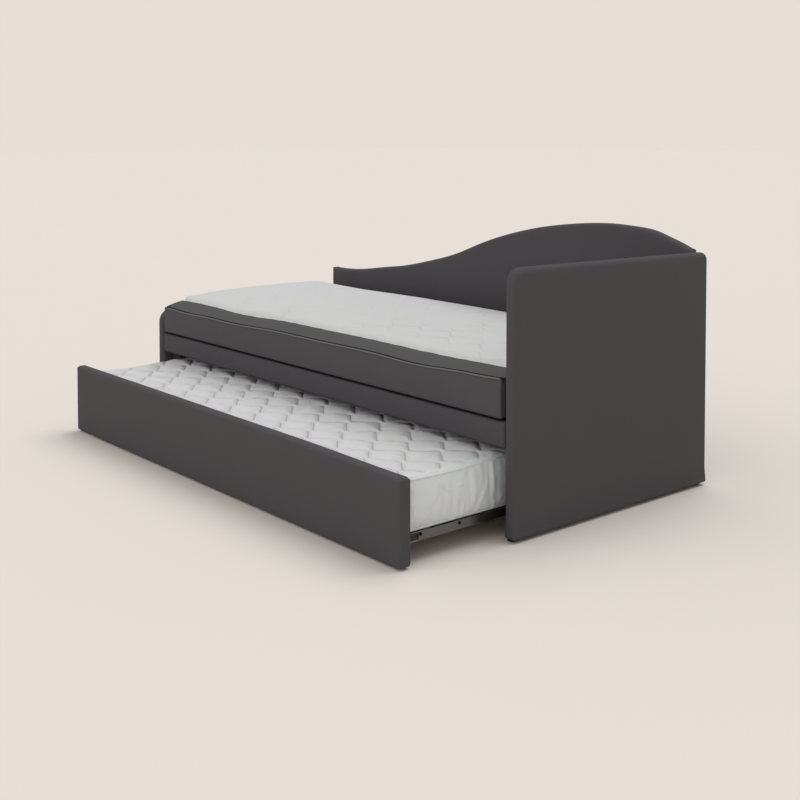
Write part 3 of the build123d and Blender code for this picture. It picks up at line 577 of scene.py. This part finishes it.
# Share of a gap in Y that lies across the slanting stitches
ACROSS = 0.817


def from_stitches(x, y):
    """Distance to the nearest stitch row, across the stitching."""
    nearest = np.floor((y - ZIG_Y) / ROW)
    gaps = [np.abs(y - zigzag(x, (nearest + extra).astype(int))) for extra in (-1, 0, 1, 2)]
    return np.minimum.reduce(gaps) * ACROSS


FRAMES = 20


def swell(made, held, pressure, fullness, reach):
    """Stuffing pushes the cover out between the seams that hold it; no point moves further than reach."""
    made.vertex_groups.new(name="held").add(np.flatnonzero(held).tolist(), 1.0, "REPLACE")
    stuffing = made.modifiers.new("stuffing", "CLOTH")
    stuffing.collision_settings.use_collision = stuffing.collision_settings.use_self_collision = False
    stuffing.point_cache.frame_start, stuffing.point_cache.frame_end = 1, FRAMES
    cover = stuffing.settings
    cover.quality, cover.mass, cover.vertex_group_mass = 4, 0.3, "held"
    cover.tension_stiffness, cover.compression_stiffness, cover.shear_stiffness = 20, 12, 8
    cover.bending_stiffness, cover.shrink_min, cover.effector_weights.gravity = 0.3, -fullness, 0
    cover.use_pressure, cover.uniform_pressure_force = True, pressure
    for moment in range(1, FRAMES + 1):
        scene.frame_set(moment)
    ready = made.evaluated_get(bpy.context.evaluated_depsgraph_get())
    before, after = fetch(made.data.vertices, "co", 3), fetch(ready.data.vertices, "co", 3)
    move = after - before
    far = np.maximum(np.linalg.norm(move, axis=1, keepdims=True) / reach, 1)
    made.data.vertices.foreach_set("co", (before + move / far).ravel())
    made.modifiers.remove(stuffing)
    made.vertex_groups.clear()
    scene.frame_set(1)
    smooth = made.modifiers.new("smooth", "SUBSURF")
    smooth.levels = smooth.render_levels = 1
    return made


def mattress(name, low, high, corner, edge, step, marks, warp, crown, quilt, side_shape, finish, body, stands_for,
             swelling, dip=0.006):
    """A closed block with a finely divided top and sides; some of its grid lines run along the stitching.

    corner rounds the plan and edge the brim. crown and quilt raise the top, side_shape pushes the sides out, dip
    draws their middles in, and swelling is for swell.
    """
    a, b = (high[0] - low[0]) / 2, (high[1] - low[1]) / 2
    cx, cy = low[0] + a, low[1] + b
    xs, ys = ticks(-a, a, edge, (), step), ticks(-b, b, edge, [m - cy for m in marks], step * 1.15)
    x, y = np.meshgrid(xs, ys, indexing="ij")
    sewn = np.isin(ys, [m - cy for m in marks])
    inside = np.minimum(a - np.abs(x), b - np.abs(y))

    # The top: square grid, drawn round at the corners and bent along the stitching
    far_x, far_y = np.maximum(np.abs(x) - (a - corner), 0) / corner, np.maximum(np.abs(y) - (b - corner), 0) / corner
    most, size = np.maximum(far_x, far_y), np.hypot(far_x, far_y)
    shrink = np.where(size > 0, most / np.maximum(size, 1e-9), 1)
    in_corner = (far_x > 0) & (far_y > 0)
    px = np.where(in_corner, np.sign(x) * (a - corner + far_x * shrink * corner), x)
    py = np.where(in_corner, np.sign(y) * (b - corner + far_y * shrink * corner), y)
    py = py + warp(x + cx, y + cy) * np.clip((a - np.abs(x) - edge) / 0.03, 0, 1)
    drop = edge - np.sqrt(np.maximum(edge**2 - np.maximum(edge - inside, 0) ** 2, 0))
    z = high[2] - drop + crown(px + cx, py + cy) + quilt(px + cx, py + cy) * np.clip(inside / (edge * 2.2), 0, 1)

    # The sides: rings below the brim, the lowest four tucked in round the bottom edge
    round_trip = [(i, 0) for i in range(len(xs))] + [(len(xs) - 1, j) for j in range(1, len(ys))]
    round_trip += [(i, len(ys) - 1) for i in range(len(xs) - 2, -1, -1)] + [(0, j) for j in range(len(ys) - 2, 0, -1)]
    ring_i, ring_j = np.array(round_trip).T
    ring = np.stack([px[ring_i, ring_j], py[ring_i, ring_j]], 1)
    brim = z[ring_i, ring_j]
    along = np.roll(ring, -1, 0) - np.roll(ring, 1, 0)
    out = np.stack([along[:, 1], -along[:, 0]], 1) / np.linalg.norm(along, axis=1)[:, None]
    count = len(ring)
    tall = high[2] - edge - low[2]
    hem = np.array((0.006, 0.0025, 0.0006, 0)) / tall
    layers = []
    for share in np.concatenate([np.linspace(1, hem[0], int(tall / step))[1:], hem[1:]]):
        tuck = max(0.004 - share * tall, 0) ** 2 / 0.006
        push = side_shape(ring[:, 0] + cx, ring[:, 1] + cy, share, out) - tuck
        layers.append(np.column_stack([ring + out * push[:, None], low[2] + share * (brim - low[2])]))
    points = np.concatenate([np.column_stack([px.ravel(), py.ravel(), z.ravel()])] + layers)
    points[:, 1] -= np.sign(points[:, 1]) * dip * (1 - (points[:, 0] / a) ** 2) * np.abs(points[:, 1] / b) ** 3
    points[:, :2] += (cx, cy)

    # Faces of the top, the sides and the bottom
    ids = np.arange(x.size).reshape(x.shape)
    quads = np.stack([ids[:-1, :-1], ids[1:, :-1], ids[1:, 1:], ids[:-1, 1:]], -1).reshape(-1, 4).tolist()
    above = ids[ring_i, ring_j]
    for layer in range(len(layers)):
        below = x.size + layer * count + np.arange(count)
        quads += np.stack([above, np.roll(above, -1), np.roll(below, -1), below], -1).tolist()
        above = below
    n = len(xs)
    rear = [2 * n + len(ys) - 3 - i for i in range(n)]
    under = [[i, i + 1, rear[i + 1], rear[i]] for i in range(1, n - 2)]
    under += [[0, 1, *range(rear[1], count)], list(range(n - 2, rear[n - 2] + 1))]
    quads += [above[loop].tolist() for loop in under]

    top_mark, held = np.zeros(len(points)), np.zeros(len(points), bool)
    top_mark[: x.size] = np.clip(inside.ravel() / (edge * 1.5), 0, 1)
    held[: x.size] = ((inside <= 0) | (sewn[None, :] & (inside > 0))).ravel()
    held[-len(hem) * count :] = True
    made = add_piece(name, points, quads, finish, body, stands_for, {"top": top_mark})
    return swell(made, held, *swelling)


def sewn_rows(rows):
    """Middle places of the stitch rows, and how far the grid leans to follow them."""
    marks = [ZIG_Y + row * ROW for row in rows]

    def warp(x, y):
        stops = [marks[0] - 0.04, *marks, marks[-1] + 0.04]
        swing = [0 * x] + [zigzag(x, row) - mark for row, mark in zip(rows, marks)] + [0 * x]
        place = np.clip(np.searchsorted(stops, y, side="right") - 1, 0, len(stops) - 2)
        stops, swing = np.array(stops), np.array(swing)
        t = np.clip((y - stops[place]) / (stops[place + 1] - stops[place]), 0, 1)
        i, j = np.indices(x.shape)
        lean = swing[place, i, j] * (1 - t) + swing[place + 1, i, j] * t
        return np.where((y < stops[0]) | (y > stops[-1]), 0, lean)

    return marks, warp


def puffed(x, y, height, reach):
    """Stuffed cells between the stitch rows."""
    apart = np.clip(from_stitches(x, y) / reach, 0, 1)
    return height * (1 - (1 - apart) ** 2.4)


# Trundle mattress. Its top sags a little: place in Y and height
t_low, t_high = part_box("trundle_mattress")
T_CORNER = 0.03
T_ROWS = range(-2, 8)
SAG = ((-0.5835, -0.003), (-0.46, -0.006), (-0.385, -0.005), (-0.328, -0.001), (-0.25, 0.001), (0.0, 0.001),
       (0.2165, -0.003))


def quilt_crown(x, y):
    return np.interp(y, *np.array(SAG).T) + 0 * x


# Spots where the trundle's cover has creased: along, back and how far they reach
CREASED = ((0.65, -0.39, 0.06), (-0.53, -0.43, 0.08), (-0.42, -0.36, 0.07), (0.1, -0.32, 0.08), (0.33, -0.3, 0.06),
           (0.2, -0.48, 0.05), (-0.15, -0.34, 0.06), (0.62, 0.02, 0.08), (-0.3, 0.1, 0.1))


def quilt_top(x, y):
    """Height of the stuffed cells, with creases in the marked spots."""
    creases = 0.0
    for seed, (place, back, size) in enumerate(CREASED):
        near = np.exp(-(((x - place) / size) ** 2) - ((y - back) / size) ** 2)
        creases = creases + near * undulate(x, y, 0.034, 20 + seed)
    uneven = 0.0012 * undulate(x, y, 0.25, 3) + 0.0014 * undulate(x, y, 0.09, 4)
    return puffed(x, y, 0.0042, 0.015) + uneven + 0.0024 * creases


# Gathers in the trundle mattress's ends: place from the front, how deep, how wide, from and to which share of the
# height, and slant
GATHERS = (
    (0.150, 0.003, 0.014, 0.0, 0.7, 0.0), (0.188, 0.0056, 0.008, 0.0, 0.85, 0.012),
    (0.203, -0.0042, 0.007, 0.0, 0.5, 0.0), (0.216, 0.0042, 0.004, 0.0, 0.35, 0.004),
    (0.228, -0.0042, 0.006, 0.0, 0.3, 0.0), (0.240, 0.0042, 0.004, 0.0, 0.3, -0.006),
    (0.252, 0.0028, 0.006, 0.25, 1.0, -0.01), (0.268, -0.0042, 0.008, 0.2, 0.9, 0.0),
    (0.290, 0.0056, 0.004, 0.05, 0.6, 0.07), (0.302, -0.0056, 0.006, 0.05, 0.6, 0.07),
    (0.314, 0.0042, 0.004, 0.4, 1.0, 0.0), (0.335, 0.0056, 0.004, 0.0, 1.0, -0.01),
    (0.347, -0.0056, 0.006, 0.0, 1.0, -0.01), (0.358, 0.0056, 0.004, 0.0, 0.9, 0.0),
    (0.43, 0.004, 0.008, 0.0, 0.9, 0.01), (0.50, 0.003, 0.007, 0.2, 1.0, 0.0),
    (0.57, 0.004, 0.008, 0.0, 0.8, -0.01), (0.66, 0.003, 0.008, 0.2, 1.0, 0.01),
    (0.72, 0.003, 0.006, 0.0, 0.7, 0.0),
)


def bulging(share):
    """How far a side stands out at a share of its height."""
    return 0.004 * math.sin(math.pi * min(max(share, 0), 1))


def quilt_side(x, y, share, out):
    """Bulge of the trundle mattress's sides, gathered at both ends."""
    bulge = bulging(share) + 0.0015 * undulate(x + y, x * 0 + share * 0.3, 0.16, 5)
    for place, deep, wide, start, end, slant in GATHERS:
        mask = np.clip((share - start) / 0.15 + 0.5, 0, 1) * np.clip((end - share) / 0.15 + 0.5, 0, 1)
        away = (y - t_low.y - place - slant * (share - (start + end) / 2)) / wide
        bulge = bulge - mask * deep * np.exp(-(away**2)) * (np.abs(out[:, 0]) > 0.9)
    return bulge


mattress("trundle_quilt", t_low, t_high, T_CORNER, 0.009, 0.0085, *sewn_rows(T_ROWS), quilt_crown, quilt_top,
         quilt_side, cover, "trundle", ("trundle_mattress",), (3.0, 0.012, 0.0035))

# Upper mattress: white quilted part, then the dark front border and its band on the top
u_low, u_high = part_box("upper_mattress")
BAND, UNDER_BAND = 0.095, 0.014

# Along the bed, how much wider the band grows near the tall end and how far the mattress hangs near the low end
WIDER = ((-1.01, -0.016), (-0.9, 0), (-0.6, 0), (0.1, 0), (0.45, -0.005), (0.75, -0.001), (0.98, 0.02))
LOWER = ((-1.01, 0.002), (-0.85, 0.005), (-0.62, 0.009), (-0.35, 0.002), (-0.2, 0), (0.4, 0), (1.01, 0))

# Height of the white top below its highest line, over the distance from the front, both in mm
RISING = ((85, -40), (100, -29), (108, -20), (116, -14.5), (130, -12.5), (167, -11), (198, -8), (281, -3), (452, 0),
          (623, 0), (787, -5), (801, -7))


def upper_crown(x, y):
    back, lift = np.array(RISING).T / 1000
    rear = 0.009 * np.clip(x, 0, 1) * np.clip((y - 0.1) / 0.3, 0, 1)
    hang = smooth_line(LOWER, x) * (1 - 0.6 * np.clip((y + 0.1) / 0.4, 0, 1))
    wider = smooth_line(WIDER, x) * np.clip((0.1 - y) / 0.2, 0, 1)
    return np.interp(y - wider, back + u_low.y - 0.004, lift) - rear - hang


def upper_top(x, y):
    return puffed(x, y, 0.0004, 0.02) + 0.0012 * undulate(x, y, 0.4, 8)


def plain_side(x, y, share, out):
    return bulging(share) + 0.001 * undulate(x, y, 0.2, 9)


mattress("upper_quilt", (u_low.x, u_low.y + BAND - UNDER_BAND, u_low.z), u_high, 0.034, 0.006, 0.0095,
         *sewn_rows(range(3, 11)), upper_crown, upper_top, plain_side, smooth_cover, "bedstead", ("upper_mattress",),
         (1.5, 0.004, 0.0006), dip=0.0)

# Height of the piped seam along the bed, both in mm
SEAM = ((-999, 461), (-985, 460.5), (-858, 453.5), (-650, 456), (-513, 454), (-214, 462), (100, 463), (435, 464),
        (540, 460.5), (635, 460), (730, 464.5), (820, 469), (910, 471), (960, 473), (999, 475))
seam = [(x / 1000, z / 1000) for x, z in SEAM]
# The valley behind the piping, in Y and Z from the seam
VALLEY = ((0.0025, 0.0004), (0.0055, -0.004), (0.0095, 0.0012))
# Points of a section: the seam itself, and the first one behind the valley
AT_SEAM, BEHIND_VALLEY = 13, 17
BORDER_TALL = 0.125


def border_section(x, inset):
    """Outline of the dark border at one place along the bed, in Y and Z, drawn in by inset."""
    z0, y0 = u_low.z, u_low.y - 0.004
    zs = float(smooth_line(seam, x))
    zt = z0 + BORDER_TALL + 0.0012 * float(undulate(np.array([x]), 0.0, 0.5, 2)[0]) - float(smooth_line(LOWER, x))
    wide = BAND + float(smooth_line(WIDER, x))
    front = [(y0 - 0.0035 * math.sin(math.pi * t), z0 + t * (zs - z0)) for t in np.linspace(0, 1, AT_SEAM + 1)]
    valley = [(y0 + y, zs + z) for y, z in VALLEY]
    rise = zt - zs - 0.003
    band = []
    for t in np.linspace(0.0, 1, 15):
        up = rise * (t * 0.85 + 0.15 * math.sin(math.pi * t / 2))
        band.append((y0 + 0.0105 + t * (wide - 0.005), zs + 0.003 + up + 0.0015 * math.sin(math.pi * t)))
    rear = [(y0 + wide + 0.0065, z) for z in (zt - 0.004, (zt + z0) / 2, z0)]
    bottom = [(y0 + wide * t, z0) for t in (0.7, 0.4, 0.15)]
    section = np.array(front + valley + band + rear + bottom)
    middle = np.array([y0 + wide * 0.6, (z0 + zt) / 2])
    pull = 1 - inset * np.array([1, 0.35]) / np.array([wide * 0.6, (zt - z0) / 2])
    return middle + (section - middle) * pull


# Sections along the border, closer together at its two rounded ends
ENDS = 0.006
swing = np.radians((0, 15, 30, 45, 60, 75, 90))
along = np.concatenate([u_low.x + ENDS * (1 - np.cos(swing)), np.linspace(u_low.x + ENDS, u_high.x - ENDS, 330)[1:-1],
                        (u_high.x - ENDS * (1 - np.cos(swing)))[::-1]])
rings = []
for x in along:
    reach = max(0.0, ENDS - min(x - u_low.x, u_high.x - x))
    section = border_section(x, ENDS - math.sqrt(max(ENDS**2 - reach**2, 0)))
    rings.append(np.array([(x, y, z) for y, z in section]))
# Painted shade in the valley behind the piping: these border points are marked to be darkened
groove_shade = [float(AT_SEAM < k <= BEHIND_VALLEY) for k in range(len(rings[0]))] * len(rings)
add_piece("upper_border", np.concatenate(rings), sleeve(rings), border_cloth, "bedstead",
                    ("upper_mattress_border",), {"seam": groove_shade})


def grown(name, paths, tree, inputs, finish, body, stands_for=(), closed=False):
    """Lets a Geometry Nodes tree work along paths and keeps its result as a plain mesh."""
    line = bpy.data.curves.new(name + "_line", "CURVE")
    line.dimensions = "3D"
    for path in paths:
        spline = line.splines.new("POLY")
        spline.points.add(len(path) - 1)
        spline.points.foreach_set("co", np.column_stack([path, np.ones(len(path))]).ravel())
        spline.use_cyclic_u = closed
    holder = bpy.data.objects.new(name + "_line", line)
    scene.collection.objects.link(holder)
    step = holder.modifiers.new("grow", "NODES")
    step.node_group = tree
    values = {**inputs, "Finish": finish.material}
    for item in tree.interface.items_tree:
        if item.item_type == "SOCKET" and item.in_out == "INPUT" and item.name in values:
            step[item.identifier] = values[item.name]
    step.id_data.update_tag()
    bpy.context.view_layer.update()
    ready = holder.evaluated_get(bpy.context.evaluated_depsgraph_get())
    mesh = bpy.data.meshes.new_from_object(ready)
    mesh.name = name
    bpy.data.objects.remove(holder)
    return dress(name, mesh, finish, body, stands_for)


def new_tree(name, sizes):
    """An empty Geometry Nodes tree with named inputs for its sizes and one for its finish."""
    tree = bpy.data.node_groups.new(name, "GeometryNodeTree")
    tree.interface.new_socket("Geometry", in_out="INPUT", socket_type="NodeSocketGeometry")
    for size, value in sizes.items():
        tree.interface.new_socket(size, in_out="INPUT", socket_type="NodeSocketFloat").default_value = value
    tree.interface.new_socket("Finish", in_out="INPUT", socket_type="NodeSocketMaterial")
    tree.interface.new_socket("Geometry", in_out="OUTPUT", socket_type="NodeSocketGeometry")
    start, end = tree.nodes.new("NodeGroupInput"), tree.nodes.new("NodeGroupOutput")

    def join(kind, sockets=(), **settings):
        made = tree.nodes.new(kind)
        for key, value in settings.items():
            setattr(made, key, value)
        for key, value in dict(sockets).items():
            if isinstance(value, bpy.types.NodeSocket):
                tree.links.new(value, made.inputs[key])
            else:
                made.inputs[key].default_value = value
        return made.outputs[0]

    def close(geometry):
        real = join("GeometryNodeRealizeInstances", {0: geometry})
        dressed = join("GeometryNodeSetMaterial", {"Geometry": real, "Material": start.outputs["Finish"]})
        tree.links.new(dressed, end.inputs[0])
        return tree

    return start.outputs, join, close


given, join, close = new_tree("piping_tree", {"Radius": 0.003})
ring = join("GeometryNodeCurvePrimitiveCircle", {"Resolution": 10, "Radius": given["Radius"]})
tube = join("GeometryNodeCurveToMesh", {"Curve": given[0], "Profile Curve": ring, "Fill Caps": True})
piping_tree = close(tube)

given, join, close = new_tree("stitch_tree", {"Spacing": 0.007, "Length": 0.0045, "Width": 0.0011})
spots = join("GeometryNodeResampleCurve", {"Curve": given[0], "Length": given["Spacing"]}, mode="LENGTH")
size = join("ShaderNodeCombineXYZ", {0: given["Width"], 1: given["Width"], 2: given["Length"]})
bead = join("GeometryNodeMeshIcoSphere", {"Radius": 0.5, "Subdivisions": 1})
bead = join("GeometryNodeTransform", {"Geometry": bead, "Scale": size})
heading = join("FunctionNodeAlignEulerToVector", {"Vector": join("GeometryNodeInputTangent")}, axis="Z")
laid = join("GeometryNodeInstanceOnPoints", {"Points": spots, "Instance": bead, "Rotation": heading})
stitch_tree = close(laid)

# Piping on the border's front edge, sunk into the corner at the low end, and a fine seam behind its valley
lip = np.array([ring[AT_SEAM] for ring in rings[8:-4]]) + (0, 0, 0.001)
lip += np.outer(np.clip((u_low.x + 0.06 - lip[:, 0]) / 0.04, 0, 1), (0, 0.0025, -0.004))
grown("border_piping", [lip], piping_tree, {"Radius": 0.0026}, piping_cloth, "bedstead",
      ("upper_mattress_piping",))
behind = np.array([ring[BEHIND_VALLEY] for ring in rings[8:-8]]) + (0, 0.003, 0.0006)
grown("border_stitches", [behind], stitch_tree, {"Spacing": 0.006, "Length": 0.004, "Width": 0.0009}, border_cloth,
      "bedstead")


def plan_loop(low, high, corner, grow, z, sag=0.0, dip=0.006):
    """A closed line round a mattress, grow outside its plan; sag is its share of the top's sag."""
    flat = rounded((low[0], low[1]), (high[0], high[1]), (corner,) * 4, -grow, 0.05)
    a, b = (high[0] - low[0]) / 2, (high[1] - low[1]) / 2
    cx, cy = low[0] + a, low[1] + b
    u, v = (flat[:, 0] - cx) / a, (flat[:, 1] - cy) / b
    height = z + sag * quilt_crown(flat[:, 0], flat[:, 1])
    flat[:, 1] -= np.sign(v) * dip * (1 - np.clip(u, -1, 1) ** 2) * np.clip(np.abs(v), 0, 1) ** 3
    return np.column_stack([flat, height])


upper_loop = plan_loop(t_low, t_high, T_CORNER, 0.0006, t_high.z - 0.009, sag=1.0)
lower_loop = plan_loop(t_low, t_high, T_CORNER, -0.0005, t_low.z + 0.0025)
grown("trundle_piping", [upper_loop, lower_loop], piping_tree, {"Radius": 0.0028}, tape, "trundle",
      closed=True)

# Stitches sunk in the quilting
xs = np.arange(t_low.x + 0.02, t_high.x - 0.02, 0.004)
rows = []
for row in T_ROWS:
    ys = zigzag(xs, np.full(len(xs), row))
    rows.append(np.column_stack([xs, ys, t_high.z + quilt_crown(xs, ys) + quilt_top(xs, ys) + 0.0003]))
grown("quilt_stitches", rows, stitch_tree, {"Spacing": 0.008, "Length": 0.0045, "Width": 0.0012}, thread, "trundle")

# Plain pale floor
BACKDROP = (0.791, 0.730, 0.679)
FLOOR = 60
ground = bpy.data.meshes.new("floor")
corners = ((-FLOOR, -FLOOR, 0), (FLOOR, -FLOOR, 0), (FLOOR, FLOOR, 0), (-FLOOR, FLOOR, 0))
ground.from_pydata(corners, [], [(0, 1, 2, 3)])
floor = bpy.data.objects.new("floor", ground)
scene.collection.objects.link(floor)
paint = Finish("floor_paint", Roughness=0.9, Specular_IOR_Level=0.0)
paint.feed("Base Color", paint.blend(paint.noise(paint.point(), 2.0), BACKDROP, shaded(BACKDROP, 0.99)))
ground.materials.append(paint.material)

# Soft studio light: the camera sees the backdrop's colour, all else is lit by an even white
WORLD_LIGHT = 0.54
world = bpy.data.worlds.new("studio")
scene.world = world
world.use_nodes = True
nodes, links = world.node_tree.nodes, world.node_tree.links
nodes.clear()
rays = nodes.new("ShaderNodeLightPath")
seen = nodes.new("ShaderNodeBackground")
seen.inputs[0].default_value = (*BACKDROP, 1)
light = nodes.new("ShaderNodeBackground")
light.inputs[0].default_value = (1, 1, 1, 1)
light.inputs[1].default_value = WORLD_LIGHT
either = nodes.new("ShaderNodeMath")
either.operation = "MAXIMUM"
links.new(rays.outputs["Is Camera Ray"], either.inputs[0])
links.new(rays.outputs["Is Transmission Ray"], either.inputs[1])
mix = nodes.new("ShaderNodeMixShader")
links.new(either.outputs[0], mix.inputs[0])
links.new(light.outputs[0], mix.inputs[1])
links.new(seen.outputs[0], mix.inputs[2])
links.new(mix.outputs[0], nodes.new("ShaderNodeOutputWorld").inputs[0])

# Two wide suns: strength, spread and where they stand
LAMPS = {"high_lamp": (1.27, 46, (0.0, 0.43, 1)), "front_lamp": (0.73, 90, (-0.1, -0.95, 0.43))}
for name, (strength, spread, heading) in LAMPS.items():
    lamp = bpy.data.objects.new(name, bpy.data.lights.new(name, "SUN"))
    lamp.data.energy, lamp.data.angle = strength, math.radians(spread)
    lamp.rotation_mode = "QUATERNION"
    lamp.rotation_quaternion = Vector(heading).to_track_quat("Z", "Y")
    scene.collection.objects.link(lamp)
